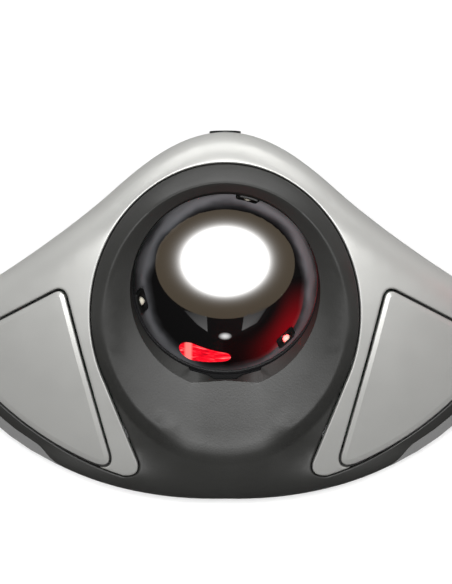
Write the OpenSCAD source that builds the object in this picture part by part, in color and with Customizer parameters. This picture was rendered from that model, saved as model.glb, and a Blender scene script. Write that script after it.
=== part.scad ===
// Trackball mouse for either hand, with its ball lifted out of the socket and set down beside the case.
// Millimetres. +Z is up, +Y points away from the user and +X is to the user's right.
// The origin is on the desk, straight below the middle of the ball socket.

/* [Ball and socket] */
// Diameter of the ball
ball_d = 40; // [39.6:0.1:40.2]
// Height of the seated ball's middle above the desk
ball_z = 27; // [26.8:0.1:28]
// Gap between the seated ball and the cup's wall
ball_play = 0.5; // [0.4:0.05:0.6]
// Tilt of the socket's axis towards the user, in degrees
socket_tilt = 16; // [14:0.5:17]
// Wall thickness of the cup
cup_wall = 1.6; // [1.4:0.1:1.7]
// Angle from the cup's bottom pole to its rim, in degrees
rim_angle = 83; // [81:0.5:84]
// Distance from the socket's middle to the ball where it lies beside the case
ball_park = 92; // [91:1:110]

/* [Support beads] */
// Diameter of one ceramic bead
bead_d = 2; // [1.8:0.1:2.1]
// Angle from the cup's bottom pole to the beads, in degrees
bead_angle = 72; // [70:0.5:74]
// Clockwise turns of the three beads from the far side, in degrees
bead_turns = [15, 135, 255];

/* [Sensor] */
// Clockwise turn of the sensor window from the far side, in degrees
window_turn = 198.6; // [195:0.5:200]
// Angle of the sensor window from straight down, in degrees
window_angle = 49; // [47:0.5:50]

/* [Case] */
// Height of the flat underside above the desk
case_lift = 1.5; // [1.2:0.1:1.6]
// Height of the joint between the base and the upper shells
split_z = 8; // [7.6:0.1:8.4]
// Height of the top of the domed upper surface
dome_top = 32.4; // [32:0.1:33]
// Radius of the domed upper surface
dome_r = 130; // [128:1:135]
// Distance from the socket's middle to the dome's highest point, away from the user
dome_y = 20; // [18:0.5:22]
// Thickness of the upper shells
skin = 2.2; // [2:0.1:2.4]
// Thickness of the side walls
wall = 2; // [1.8:0.1:2.2]
// Gap between neighbouring shells
seam = 0.7; // [0.6:0.05:0.8]

/* [Buttons] */
// Gap around each button
button_gap = 0.8; // [0.7:0.05:0.9]
// Thickness of a button
button_skin = 2.4; // [2.2:0.1:2.6]
// Radius of each button's hinge pin
pin_r = 1; // [0.9:0.05:1]
// Running clearance around a hinge pin
pin_play = 0.05; // [0.03:0.01:0.08]

/* [Hidden] */

fine = 120;             // facets of the large round parts
small = 40;             // facets of the small round parts
tall = 60;              // more than the height of anything
ball_r = ball_d / 2;
cup_in = ball_r + ball_play;
cup_out = cup_in + cup_wall;
rim_drop = cup_in * cos(rim_angle);     // from the ball's middle to the cup's rim, along the axis
flange_r = 24.4;
flange_t = 1.4;
tab_turns = [60, 180, 300];
tab_reach = 24.6;
tab_r = 2.5;
cup_screw_r = 0.9;
cup_screw_len = 2.9;
bead_r = bead_d / 2;
bead_reach = ball_r + 0.05 + bead_r;    // the seated ball clears its beads by a hair
holder_size = [4.6, 3.0, 2];
core_r = 12;

// Outline of the case: four Bezier stretches down its right side, from the nose to the palm end
nose = [0, 35];
neck = [25, 22.2];
shoulder = [58, -0.8];
wing = [63.6, -17.5];
palm = [0, -49];
steps = 12;             // points along each stretch
half_case = concat(
    bezier(nose, [9.5, 35], [17.5, 28.8], neck),
    bezier(neck, [32, 15.9], [45, 6.6], shoulder),
    bezier(shoulder, [63, -3.6], [68.5, -10.5], wing),
    bezier(wing, [60.5, -29], [38, -50], palm),
    [palm]
);
case_outline = mirrored(half_case);

// Crater around the ball: an oval outer edge, an oval crest and an oval opening
crater_mid = -6.6;
crater_size = [30.9, 34.9];
crest_mid = -7.2;
crest_size = [27.9, 30.6];
crest_lift = 2.5;
opening_mid = -1;
opening_size = [21.4, 22.2];
opening_lift = 0.3;
side_end = -26;         // angle at which the crater's side runs on as a straight line

// Curve along which the palm rest meets the buttons: an arc about a point ahead of the socket
palm_arc_y = 30.2;
palm_arc_r = 77.5;
palm_arc_start = 17.65;
palm_arc_end = 64;
waist = [20.1, -39.5];
half_cover = concat(
    [for (t = [90:-4:side_end]) oval(crater_size, crater_mid, t)],
    bezier(waist, [19.2, -41.6], [19.8, -43.9], on_palm_arc(palm_arc_start, 0)),
    [for (t = [palm_arc_start:2:palm_arc_end]) on_palm_arc(t, 0)],
    [[90, -10], [90, -70], [0, -70]]
);
cover_outline = mirrored(half_cover);

// Outline of the right button, clockwise from its inner far corner
button_inner = [36.6, -0.2];
button_bend = [32.9, -15];
button_near = [25.9, -41.6];
button_tip = [62.4, -13.1];
button_arc_in = palm_arc_r - seam;
button_outline = concat(
    fillet(button_bend, button_inner, button_tip, 4.2),
    fillet(button_inner, button_tip, on_palm_arc(48, seam), 5.5),
    [for (t = [47:-3:23]) on_palm_arc(t, seam)],
    fillet(on_palm_arc(23, seam), button_near, button_bend, 3.8),
    [button_bend]
);

// Hinge pin of the right button, along the button's near edge
pin_mid = [39.8, -30.8, 9.6];
pin_turn = 33;
pin_len = 21;
ear_at = 5;
ear_w = 3;
ear_r = 2.6;
post_at = 9;
post_w = 2.6;
post_r = 1.55;

// Boards and what is on them
board_z = 5;
board_t = 1.6;
board_top = board_z + board_t;
board_half = [[20, 22], [30, 6], [48, -8], [48, -22], [24, -37]];
board_posts = [[17, 17], [22, -33]];
switch_at = [40, -14];
switch_size = [12.8, 5.8, 6.5];
switch_top = board_top + switch_size.z;
plunger_size = [2.9, 1.3, 1.65];
plunger_up = 0.85;
sensor_reach = 25;      // from the ball's middle to the face of the sensor board
led_at = 5.4;           // along the sensor board
led_leg_at = 0.9;
led_leg_r = 0.25;
window_long = 7.9;
window_wide = 2.5;
window_narrow = 1.15;

// Screws
case_screw_at = [[35, 8], [54, -4.2], [16, -41.5]];
screw_r = 1.3;
screw_head_r = 2.4;
screw_head_t = 1.6;
screw_len = 8.2;
screw_seat = case_lift + 3.4;
boss_r = 3.2;
boss_top = split_z + 1.4;

foot_spots = [[0, 0, 7], [0, 26, 5], [27, -36, 5], [-27, -36, 5], [50, -13, 5], [-50, -13, 5]];
foot_sink = 0.5;
floor_top = case_lift + 2.2;
inlet_z = 12.5;
inlet_r = 1.7;
grommet_r = 2.7;
label_size = [34, 14, 0.2];
label_at = [-17, -27];

silver = "#b9b8b4";
charcoal = "#4b4c49";
black = "#17171a";
steel = "#c2c4c8";
green = "#1f5d3a";

// Points along a cubic Bezier curve, without its last one
function bezier(a, b, c, d) = [
    for (i = [0:steps - 1])
        let (t = i / steps, s = 1 - t)
            s * s * s * a + 3 * s * s * t * b + 3 * s * t * t * c + t * t * t * d
];

// A half outline and its mirror image, joined into a closed one
function mirrored(half) = concat(half, [for (i = [len(half) - 2:-1:1]) [-half[i].x, half[i].y]]);

// A clockwise outline moved inwards by d, or outwards where d is negative
function inset(p, d) = [
    for (i = [0:len(p) - 1])
        let (along = p[(i + 1) % len(p)] - p[(i + len(p) - 1) % len(p)])
            p[i] + d * [along.y, -along.x] / norm(along)
];

// A corner rounded between tangent points that lie r from it
function fillet(from, corner, to, r) =
    let (a = corner + r * (from - corner) / norm(from - corner),
         b = corner + r * (to - corner) / norm(to - corner))
    [for (i = [0:6]) let (t = i / 6, s = 1 - t) s * s * a + 2 * s * t * corner + t * t * b];

function oval(size, mid, t) = [size.x * cos(t), mid + size.y * sin(t)];

// A point on the palm rest's arc, moved towards the buttons by d
function on_palm_arc(t, d) = [0, palm_arc_y] + (palm_arc_r - d) * [sin(t), -cos(t)];

// Height of the dome above a point
function dome_at(p) = dome_top - dome_r + sqrt(dome_r * dome_r - p.x * p.x - pow(p.y - dome_y, 2));

// Height of the socket's tilted plane, lifted by d
function socket_plane(y, d) = ball_z + d + y * tan(socket_tilt);

// How far the crater's foot sinks below the dome, deepest beside the waist
function crater_sink(t) = t > -90 && t < 270 ? 3.4 * pow(max(0, sin(2 * foot_turn(t))), 2) : 0;
function foot_turn(t) = t < -5 || t > 185 ? abs(abs(t - 90) - 90) : 0;

module prism(points, low, high) {
    translate([0, 0, low])
        linear_extrude(high - low)
            polygon(points);
}

module dome(drop) {
    translate([0, dome_y, dome_top - dome_r])
        sphere(r = dome_r - drop, $fn = 240);
}

// A domed block over an outline, less the room inside it
module domed_shell(thick) {
    difference() {
        intersection() {
            prism(case_outline, split_z, tall);
            dome(0);
        }
        intersection() {
            prism(inset(case_outline, wall), 0, tall);
            dome(thick);
        }
    }
}

module both_sides() {
    children();
    mirror([1, 0, 0])
        children();
}

module at_each(points) {
    for (p = points)
        translate([p.x, p.y, 0])
            children();
}

// Frame of the tilted socket, with its origin at the seated ball's middle
module in_socket() {
    translate([0, 0, ball_z])
        rotate([socket_tilt, 0, 0])
            children();
}

// Turns what is built along -Z towards a clockwise turn and an angle from the bottom
module towards(turn, angle) {
    rotate([0, 0, -turn])
        rotate([angle, 0, 0])
            children();
}

module at_window() {
    translate([0, 0, ball_z])
        towards(window_turn, window_angle)
            children();
}

module box_on(at, size, low) {
    translate([at.x - size.x / 2, at.y - size.y / 2, low])
        cube(size);
}

// Lies along the right button's hinge pin, centred at a distance from the pin's middle
module along_pin(at) {
    translate(pin_mid)
        rotate([0, 0, pin_turn])
            translate([at, 0, 0])
                rotate([0, 90, 0])
                    children();
}

// Post that stands on the floor and carries one end of a hinge pin
module pin_post(at) {
    along_pin(at)
        cylinder(r = post_r, h = post_w, center = true, $fn = small);
    translate([pin_mid.x, pin_mid.y, 0])
        rotate([0, 0, pin_turn])
            translate([at - post_w / 2, -post_r, case_lift + 1])
                cube([post_w, 2 * post_r, pin_mid.z - case_lift - 1]);
}

module base_tray() {
    color(charcoal)
    difference() {
        union() {
            prism(inset(case_outline, 1.4), case_lift, case_lift + 1.2);
            prism(case_outline, case_lift + 1.2, floor_top);
            difference() {
                prism(case_outline, floor_top - 0.2, split_z - 0.3);
                prism(inset(case_outline, wall), floor_top - 1, tall);
            }
            both_sides() {
                at_each(case_screw_at)
                    translate([0, 0, case_lift])
                        cylinder(r = boss_r, h = boss_top - case_lift, $fn = small);
                at_each(board_posts)
                    translate([0, 0, floor_top - 0.2])
                        cylinder(r = 2.4, h = board_z - floor_top + 0.2, $fn = small);
                pin_post(-post_at);
                pin_post(post_at);
            }
        }
        both_sides() {
            at_each(case_screw_at) {
                translate([0, 0, -1])
                    cylinder(r = screw_head_r + 0.4, h = screw_seat + 1, $fn = small);
                cylinder(r = screw_r + 0.2, h = tall, $fn = small);
            }
            at_each(board_posts)
                translate([0, 0, board_z - 2.4])
                    cylinder(r = 0.8, h = 4, $fn = small);
            along_pin(0)
                cylinder(r = pin_r + 0.01, h = pin_len + 10, center = true, $fn = small);
        }
        for (f = foot_spots)
            translate([f.x, f.y, -1])
                cylinder(r = f.z + 0.1, h = case_lift + foot_sink + 1, $fn = small);
        translate([label_at.x, label_at.y, case_lift - 1])
            cube([label_size.x, label_size.y, label_size.z + 1]);
    }
}

// Screw boss that hangs from a shell down to the base's own boss
module hanging_boss(at, thick) {
    intersection() {
        translate([at.x, at.y, boss_top + 0.1])
            cylinder(r = boss_r, h = tall, $fn = small);
        dome(thick / 2);
    }
}

module screw_pilot(at) {
    translate([at.x, at.y, 0])
        cylinder(r = screw_r + 0.05, h = screw_seat + screw_len + 0.6, $fn = small);
}

module top_shell() {
    color(silver)
    difference() {
        union() {
            difference() {
                domed_shell(skin);
                prism(inset(cover_outline, -seam), 0, tall);
                both_sides()
                    prism(inset(button_outline, -button_gap), 0, tall);
            }
            both_sides() {
                hanging_boss(case_screw_at[0], skin);
                hanging_boss(case_screw_at[1], skin);
            }
        }
        both_sides() {
            screw_pilot(case_screw_at[0]);
            screw_pilot(case_screw_at[1]);
        }
        translate([0, nose.y - wall - 2, inlet_z])
            rotate([-90, 0, 0])
                cylinder(r = grommet_r + 0.1, h = wall + 4, $fn = small);
    }
}

// Raised collar around the ball's opening, as one closed ring of cross-sections
crater_rings = 7;
crater_turns = 90;
crater_points = [
    for (i = [0:crater_turns - 1])
        let (
            t = i * 360 / crater_turns - 90,
            foot = oval(crater_size - [0.2, 0.2], crater_mid, t),
            foot_z = dome_at(foot) - crater_sink(t),
            crest = oval(crest_size, crest_mid, t),
            under = oval(crest_size * 0.96, crest_mid, t),
            edge = oval(opening_size, opening_mid, t),
            lip = oval([cup_in + 0.3, cup_in - 0.5], 0, t),
            back = oval([cup_in + 2.3, cup_in + 1.5], 0, t)
        )
        each [
            [foot.x, foot.y, foot_z - skin],
            [foot.x, foot.y, foot_z],
            [crest.x, crest.y, socket_plane(crest.y, crest_lift)],
            [edge.x, edge.y, socket_plane(edge.y, opening_lift)],
            [lip.x, lip.y, socket_plane(lip.y, -2)],
            [back.x, back.y, socket_plane(back.y, -2)],
            [under.x, under.y, socket_plane(under.y, crest_lift - 2.4)]
        ]
];
crater_faces = [
    for (i = [0:crater_turns - 1], k = [0:crater_rings - 1])
        let (
            j = (i + 1) % crater_turns,
            m = (k + 1) % crater_rings,
            a = i * crater_rings + k,
            b = i * crater_rings + m,
            c = j * crater_rings + m,
            d = j * crater_rings + k
        )
        each [[a, b, c], [a, c, d]]
];

module centre_cover() {
    color(charcoal)
    difference() {
        union() {
            polyhedron(crater_points, crater_faces);
            difference() {
                intersection() {
                    domed_shell(skin);
                    prism(cover_outline, 0, tall);
                }
                prism([for (t = [0:4:356]) oval(crater_size - [1, 1], crater_mid, -t)], 0, tall);
            }
            both_sides()
                hanging_boss(case_screw_at[2], skin);
        }
        both_sides()
            screw_pilot(case_screw_at[2]);
        in_socket()
            for (turn = tab_turns)
                rotate([0, 0, -turn])
                    translate([0, tab_reach, -rim_drop - flange_t])
                        cylinder(r = cup_screw_r + 0.05, h = cup_screw_len + 0.3, $fn = small);
    }
}

module window_shape(grow) {
    lean = asin((window_wide - window_narrow) / window_long);
    wide_at = window_long * 0.43;
    polygon(concat(
        [for (t = [-90 - lean:(180 + 2 * lean) / 12:90.01 + lean])
            [wide_at, 0] + (window_wide + grow) * [cos(t), sin(t)]],
        [for (t = [90 + lean:(180 - 2 * lean) / 8:270.01 - lean])
            [wide_at - window_long, 0] + (window_narrow + grow) * [cos(t), sin(t)]]
    ));
}

module at_tabs()
    for (turn = tab_turns)
        rotate(-turn)
            translate([0, tab_reach])
                children();

module flange_shape()
    difference() {
        union() {
            circle(r = flange_r, $fn = fine);
            at_tabs()
                circle(r = tab_r, $fn = small);
        }
        at_tabs()
            circle(r = 1.1, $fn = small);
    }

module ball_cup() {
    color(black)
    difference() {
        in_socket()
            difference() {
                union() {
                    sphere(r = cup_out, $fn = fine);
                    translate([0, 0, -rim_drop - flange_t])
                        linear_extrude(flange_t)
                            flange_shape();
                    for (turn = bead_turns)
                        towards(turn, bead_angle)
                            translate([0, 0, -cup_in - 3])
                                cylinder(r = 3.3, h = 2, $fn = small);
                }
                sphere(r = cup_in, $fn = fine);
                translate([0, 0, -rim_drop])
                    cylinder(r = 2 * cup_out, h = 2 * cup_out, $fn = small);
                for (turn = bead_turns)
                    towards(turn, bead_angle)
                        translate([-holder_size.x / 2 - 0.05, -holder_size.y / 2 - 0.05, -cup_in - 2.5])
                            cube([holder_size.x + 0.1, holder_size.y + 0.1, 4]);
                for (turn = bead_turns)
                    towards(turn, bead_angle)
                        translate([0, 0, -bead_reach])
                            cylinder(r = bead_r + 0.08, h = 4, center = true, $fn = small);
            }
        at_window()
            translate([0, 0, -cup_out - 2])
                linear_extrude(cup_wall + 4)
                    window_shape(0);
    }
}

module ball_shell() {
    color("#9c1420")
    translate([ball_park, 0, ball_r])
        difference() {
            sphere(r = ball_r, $fn = fine);
            sphere(r = core_r + 0.05, $fn = fine);
        }
}

module ball_core() {
    color("#2a2a2c")
    translate([ball_park, 0, ball_r])
        sphere(r = core_r, $fn = fine);
}

module support_beads() {
    color("#e6e2d4")
    in_socket()
        for (turn = bead_turns)
            towards(turn, bead_angle)
                translate([0, 0, -bead_reach])
                    sphere(r = bead_r, $fn = small);
}

module bead_holders() {
    color(black)
    in_socket()
        for (turn = bead_turns)
            towards(turn, bead_angle)
                difference() {
                    translate([-holder_size.x / 2, -holder_size.y / 2, -cup_in - 2.4])
                        cube(holder_size);
                    translate([0, 0, -bead_reach])
                        sphere(r = bead_r + 0.02, $fn = small);
                    translate([0, 0, -bead_reach])
                        cylinder(r = bead_r * 0.8, h = 3, $fn = small);
                }
}

module sensor_window() {
    color("#d8122a")
    difference() {
        intersection() {
            at_window()
                translate([0, 0, -cup_out - 2])
                    linear_extrude(cup_wall + 4)
                        window_shape(-0.05);
            translate([0, 0, ball_z])
                sphere(r = cup_out + 0.5, $fn = fine);
        }
        translate([0, 0, ball_z])
            sphere(r = cup_in + 0.3, $fn = fine);
    }
}

module sensor_board() {
    color(green)
    at_window()
        difference() {
            translate([-6.5, -4.5, -sensor_reach - 1])
                cube([15, 9, 1]);
            translate([6.9, 3, -sensor_reach - 2])
                cylinder(r = 0.6, h = 3, $fn = small);
            for (side = [-1, 1])
                translate([led_at + side * led_leg_at, 0, -sensor_reach - 2])
                    cylinder(r = led_leg_r + 0.05, h = 3, $fn = small);
        }
}

module optical_sensor() {
    color("#202024")
    at_window()
        difference() {
            translate([-5.5, -3.2, -sensor_reach])
                cube([8, 6.4, 1.8]);
            translate([-1.5, 0, -sensor_reach + 1.3])
                cylinder(r = 1.2, h = 1, $fn = small);
        }
}

module red_led() {
    color("#f0303a")
    at_window()
        translate([led_at, 0, 0]) {
            translate([0, 0, -sensor_reach])
                cylinder(r = 1.5, h = 0.9, $fn = small);
            intersection() {
                translate([0, 0, -sensor_reach + 0.9])
                    sphere(r = 1.5, $fn = small);
                translate([0, 0, -sensor_reach])
                    cylinder(r = 2, h = 3, $fn = small);
            }
            for (side = [-1, 1])
                translate([side * led_leg_at, 0, -sensor_reach - 2.2])
                    cylinder(r = led_leg_r, h = 2.3, $fn = small);
        }
}

module led_clip() {
    color(black)
    at_window()
        translate([led_at, 0, -sensor_reach])
            difference() {
                cylinder(r = 2.3, h = 1.2, $fn = small);
                translate([0, 0, -1])
                    cylinder(r = 1.55, h = 4, $fn = small);
            }
}

// Pin header that carries the signals from the tilted board to the main board
module board_link() {
    color("#d9b45a")
    for (i = [0:5])
        translate([-18.5, -15 - 1.6 * i, board_top])
            cylinder(r = 0.35, h = 5.5, $fn = small);
    color(black)
    box_on([-18.5, -19], [2, 9.6, 2], board_top);
}

module main_board() {
    color(green)
    difference() {
        translate([0, 0, board_z])
            linear_extrude(board_t)
                polygon(concat(board_half, [for (i = [4:-1:0]) [-board_half[i].x, board_half[i].y]]));
        cylinder(r = 12, h = tall, $fn = fine);
        translate([-16.8, -26, 0])
            cube([20.8, 26, tall]);
        both_sides()
            at_each(board_posts)
                cylinder(r = 1.15, h = tall, $fn = small);
    }
}

module controller_chip() {
    color("#1c1c1f")
    box_on([15, -22], [8, 8, 1.3], board_top);
}

module crystal() {
    color(steel)
    translate([0, 0, board_top]) {
        for (x = [26.5, 29.5])
            translate([x, -16, 0])
                cylinder(r = 1.7, h = 3, $fn = small);
        translate([26.5, -17.7, 0])
            cube([3, 3.4, 3]);
    }
}

module capacitors() {
    color("#2b3350")
    for (x = [-26, 26])
        translate([x, -3, board_top])
            cylinder(r = 2.5, h = 5.4, $fn = small);
}

module cable_header() {
    color("#e9e6dc")
    difference() {
        box_on([0, 19.2], [10, 4, 4.6], board_top);
        box_on([0, 19.2], [8.6, 2.6, 4.6], board_top + 1.2);
    }
}

module right_switch() {
    color("#232326")
    difference() {
        box_on(switch_at, switch_size, board_top);
        box_on(switch_at, [plunger_size.x + 0.1, plunger_size.y + 0.1, 3], switch_top - 1.6);
    }
}

module left_switch() {
    mirror([1, 0, 0])
        right_switch();
}

module right_plunger() {
    color("#c8402c")
    box_on(switch_at, plunger_size, switch_top + plunger_up - plunger_size.z);
}

module left_plunger() {
    mirror([1, 0, 0])
        right_plunger();
}

// Domed cap with a stiffening rim, a foot over the switch and two ears on the hinge pin
module right_button() {
    color(silver)
    difference() {
        union() {
            difference() {
                intersection() {
                    prism(button_outline, 0, tall);
                    dome(0);
                }
                intersection() {
                    prism(inset(button_outline, 1.2), 0, tall);
                    dome(button_skin);
                }
                dome(button_skin + 2);
            }
            intersection() {
                translate([switch_at.x, switch_at.y, switch_top + plunger_up + 0.05])
                    cylinder(r = 2.2, h = tall, $fn = small);
                dome(1);
            }
            for (at = [-ear_at, ear_at]) {
                along_pin(at)
                    cylinder(r = ear_r, h = ear_w, center = true, $fn = small);
                intersection() {
                    translate([pin_mid.x, pin_mid.y, pin_mid.z])
                        rotate([0, 0, pin_turn])
                            translate([at - ear_w / 2, -ear_r, 0])
                                cube([ear_w, 2 * ear_r, tall]);
                    dome(1);
                }
            }
        }
        along_pin(0)
            cylinder(r = pin_r + pin_play, h = pin_len, center = true, $fn = small);
    }
}

module left_button() {
    mirror([1, 0, 0])
        right_button();
}

module right_hinge_pin() {
    color(steel)
    along_pin(0)
        cylinder(r = pin_r, h = pin_len, center = true, $fn = small);
}

module left_hinge_pin() {
    mirror([1, 0, 0])
        right_hinge_pin();
}

// Pan-head screw along +Z with a cross recess, its head's seat at the origin
module screw(head_r, head_t, shank_r, length) {
    difference() {
        union() {
            translate([0, 0, -head_t])
                cylinder(r = head_r, h = head_t, $fn = small);
            cylinder(r = shank_r, h = length, $fn = small);
        }
        for (turn = [0, 90])
            rotate([0, 0, turn])
                translate([-head_r * 0.6, -head_r * 0.11, -head_t - 0.1])
                    cube([head_r * 1.2, head_r * 0.22, head_t * 0.6 + 0.1]);
    }
}

module case_screws() {
    color(steel)
    both_sides()
        at_each(case_screw_at)
            translate([0, 0, screw_seat])
                screw(screw_head_r, screw_head_t, screw_r, screw_len);
}

module board_screws() {
    color(steel)
    both_sides()
        at_each(board_posts)
            translate([0, 0, board_top])
                rotate([180, 0, 0])
                    screw(1.9, 1.2, 0.75, 3.6);
}

module cup_screws() {
    color(steel)
    in_socket()
        for (turn = tab_turns)
            rotate([0, 0, -turn])
                translate([0, tab_reach, -rim_drop - flange_t])
                    screw(1.8, 1.1, cup_screw_r, cup_screw_len);
}

module rubber_feet() {
    color("#2c2c2e")
    for (f = foot_spots)
        translate([f.x, f.y, 0])
            cylinder(r = f.z, h = case_lift + foot_sink, $fn = small);
}

module cable_grommet() {
    color(black)
    translate([0, nose.y, inlet_z])
        rotate([-90, 0, 0])
            difference() {
                union() {
                    translate([0, 0, -wall - 1])
                        cylinder(r = grommet_r, h = wall + 1, $fn = small);
                    cylinder(r = grommet_r + 0.9, h = 0.9, $fn = small);
                    translate([0, 0, -wall - 1])
                        cylinder(r = grommet_r + 0.9, h = 0.6, $fn = small);
                }
                translate([0, 0, -wall - 2])
                    cylinder(r = inlet_r, h = wall + 4, $fn = small);
            }
}

module base_label() {
    color("#d8d8d4")
    translate([label_at.x + 0.2, label_at.y + 0.2, case_lift])
        cube([label_size.x - 0.4, label_size.y - 0.4, label_size.z]);
}

base_tray();
top_shell();
centre_cover();
ball_cup();
ball_shell();
ball_core();
support_beads();
bead_holders();
sensor_window();
sensor_board();
optical_sensor();
red_led();
led_clip();
board_link();
main_board();
controller_chip();
crystal();
capacitors();
cable_header();
left_switch();
right_switch();
left_plunger();
right_plunger();
left_button();
right_button();
left_hinge_pin();
right_hinge_pin();
case_screws();
board_screws();
cup_screws();
rubber_feet();
cable_grommet();
base_label();
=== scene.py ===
import math

import bpy
import numpy as np
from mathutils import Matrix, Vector
from mathutils.geometry import delaunay_2d_cdt


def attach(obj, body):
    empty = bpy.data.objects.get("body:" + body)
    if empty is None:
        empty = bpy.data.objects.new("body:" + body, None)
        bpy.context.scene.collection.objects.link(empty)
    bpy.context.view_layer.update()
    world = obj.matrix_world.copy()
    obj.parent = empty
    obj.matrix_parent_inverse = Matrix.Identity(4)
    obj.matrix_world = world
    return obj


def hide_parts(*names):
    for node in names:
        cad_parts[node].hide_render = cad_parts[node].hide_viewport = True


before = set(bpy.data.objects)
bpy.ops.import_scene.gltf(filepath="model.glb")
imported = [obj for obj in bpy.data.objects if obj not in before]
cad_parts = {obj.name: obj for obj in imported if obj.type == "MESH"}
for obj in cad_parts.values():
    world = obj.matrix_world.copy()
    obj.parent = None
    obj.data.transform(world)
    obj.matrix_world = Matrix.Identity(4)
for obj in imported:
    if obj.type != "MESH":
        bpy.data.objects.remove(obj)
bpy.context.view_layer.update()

MM = 0.001

# ---- camera: straight above the socket, framed as the photo --------------------------------------
CAMERA_AT = (0.0002, -0.0011, 0.600)
SENSOR_WIDTH = 36.0
LENS_LENGTH = 203.1
cam_data = bpy.data.cameras.new("camera")
cam_data.sensor_fit = "HORIZONTAL"
cam_data.sensor_width = SENSOR_WIDTH
cam_data.lens = LENS_LENGTH
cam_data.clip_start = 0.01
camera = bpy.data.objects.new("camera", cam_data)
camera.location = CAMERA_AT
bpy.context.scene.collection.objects.link(camera)
bpy.context.scene.camera = camera

# ---- measures, in millimetres and degrees --------------------------------------------------------
# They are the CAD's own, apart from those marked as read again in the photo.
BALL_R = 20.0
BALL_Z = 27.0
CUP_IN = 20.95                                  # read again
CUP_OUT = 22.1
CUP_MIDDLE = np.array([0.0, 0.4, BALL_Z])       # read again
TILT = math.radians(16)
RIM_ANGLE = 83.0
RIM_DROP = CUP_IN * math.cos(math.radians(RIM_ANGLE))
FLANGE_R = 24.4
FLANGE_T = 1.4
BEAD_ANGLE = 72.0
BEAD_TURNS = (15, 135, 255)
HOLDER = (4.6, 3.0)
WINDOW_TURN = 196.0                             # the window's six are read again
WINDOW_ANGLE = 52.5
WINDOW_ROLL = math.radians(10)
WINDOW_LONG = 7.3
WINDOW_WIDE = 3.2
WINDOW_NARROW = 1.75
DOME_TOP = 32.4
DOME_R = 130.0
DOME_Y = 20.0
SPLIT_Z = 8.0
SKIN = 2.2
SEAM = 0.7
PALM_ARC_Y = 30.2
PALM_ARC_R = 77.5
# the crater's ovals, as half widths and the middle's y (CRATER, CREST and LIP are read again), and
# their lifts above the plane through the ball's middle
CRATER = ((30.2, 34.0), -6.6)
CREST = ((27.4, 30.2), -7.2)
OPENING = ((21.4, 22.2), -1.0)
LIP = ((21.1, 20.3), 0.45)
CREST_LIFT = 2.5
OPENING_LIFT = 0.3
LIP_LIFT = -2.0
EDGE_R = 0.35           # rounding of the shells' edges along a seam
TINY = 1e-9             # keeps a division from meeting zero


# ---- plane curves --------------------------------------------------------------------------------
def bezier(a, b, c, d, n=40):
    t = np.linspace(0, 1, n, endpoint=False)[:, None]
    s = 1 - t
    a, b, c, d = (np.array(p, float) for p in (a, b, c, d))
    return s**3 * a + 3 * s * s * t * b + 3 * s * t * t * c + t**3 * d


def fillet(start, corner, end, r, n=16):
    start, corner, end = (np.array(p, float) for p in (start, corner, end))
    a = corner + r * (start - corner) / np.linalg.norm(start - corner)
    b = corner + r * (end - corner) / np.linalg.norm(end - corner)
    t = np.linspace(0, 1, n)[:, None]
    return (1 - t) ** 2 * a + 2 * (1 - t) * t * corner + t * t * b


def palm_arc(t, d=0.0):
    t = np.radians(np.atleast_1d(np.array(t, float)))
    return np.c_[(PALM_ARC_R - d) * np.sin(t), PALM_ARC_Y - (PALM_ARC_R - d) * np.cos(t)]


def oval(shape, t):
    (a, b), mid = shape
    t = np.radians(np.atleast_1d(np.array(t, float)))
    return np.c_[a * np.cos(t), mid + b * np.sin(t)]


def mirrored(half):
    return np.vstack([half, (half[1:-1] * [-1, 1])[::-1]])


def dense(loop, step):
    """A closed outline with no stretch longer than step."""
    out = []
    for a, b in zip(loop, np.roll(loop, -1, axis=0)):
        n = max(1, math.ceil(np.linalg.norm(b - a) / step))
        out.append(a + (b - a) * (np.arange(n) / n)[:, None])
    return np.vstack(out)


def thinned(loop, least):
    """A closed outline without points nearer than least to the one before."""
    out = [loop[0]]
    for p in loop[1:]:
        if np.linalg.norm(p - out[-1]) >= least:
            out.append(p)
    if np.linalg.norm(out[-1] - out[0]) < least:
        out.pop()
    return np.array(out)


def normals_in(loop):
    along = np.roll(loop, -1, axis=0) - np.roll(loop, 1, axis=0)
    along /= np.linalg.norm(along, axis=1)[:, None]
    return np.c_[along[:, 1], -along[:, 0]]


def inset(loop, d):
    """A clockwise outline moved inwards by d, or outwards where d is negative."""
    return loop + d * normals_in(loop)


def inside(loop, p):
    out = np.zeros(len(p), bool)
    a, b = loop, np.roll(loop, -1, axis=0)
    for k in range(0, len(p), 4000):
        q = p[k:k + 4000]
        x, y = q[:, 0][:, None], q[:, 1][:, None]
        cross = (a[:, 1] > y) != (b[:, 1] > y)
        with np.errstate(divide="ignore", invalid="ignore"):
            at = (b[:, 0] - a[:, 0]) * (y - a[:, 1]) / (b[:, 1] - a[:, 1]) + a[:, 0]
        out[k:k + 4000] = (cross & (x < at)).sum(axis=1) % 2 == 1
    return out


def gap_to(loop, p):
    """Distance from each point to a closed outline."""
    out = np.zeros(len(p))
    a = loop
    ab = np.roll(loop, -1, axis=0) - a
    length = (ab * ab).sum(axis=1)
    for k in range(0, len(p), 2000):
        q = p[k:k + 2000]
        aq = q[:, None, :] - a[None]
        t = np.clip((aq * ab[None]).sum(axis=2) / length, 0, 1)
        out[k:k + 2000] = np.sqrt(((aq - t[..., None] * ab[None]) ** 2).sum(axis=2)).min(axis=1)
    return out


def ramp(x, low, high):
    t = np.clip((x - low) / (high - low), 0, 1)
    return t * t * (3 - 2 * t)


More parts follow.
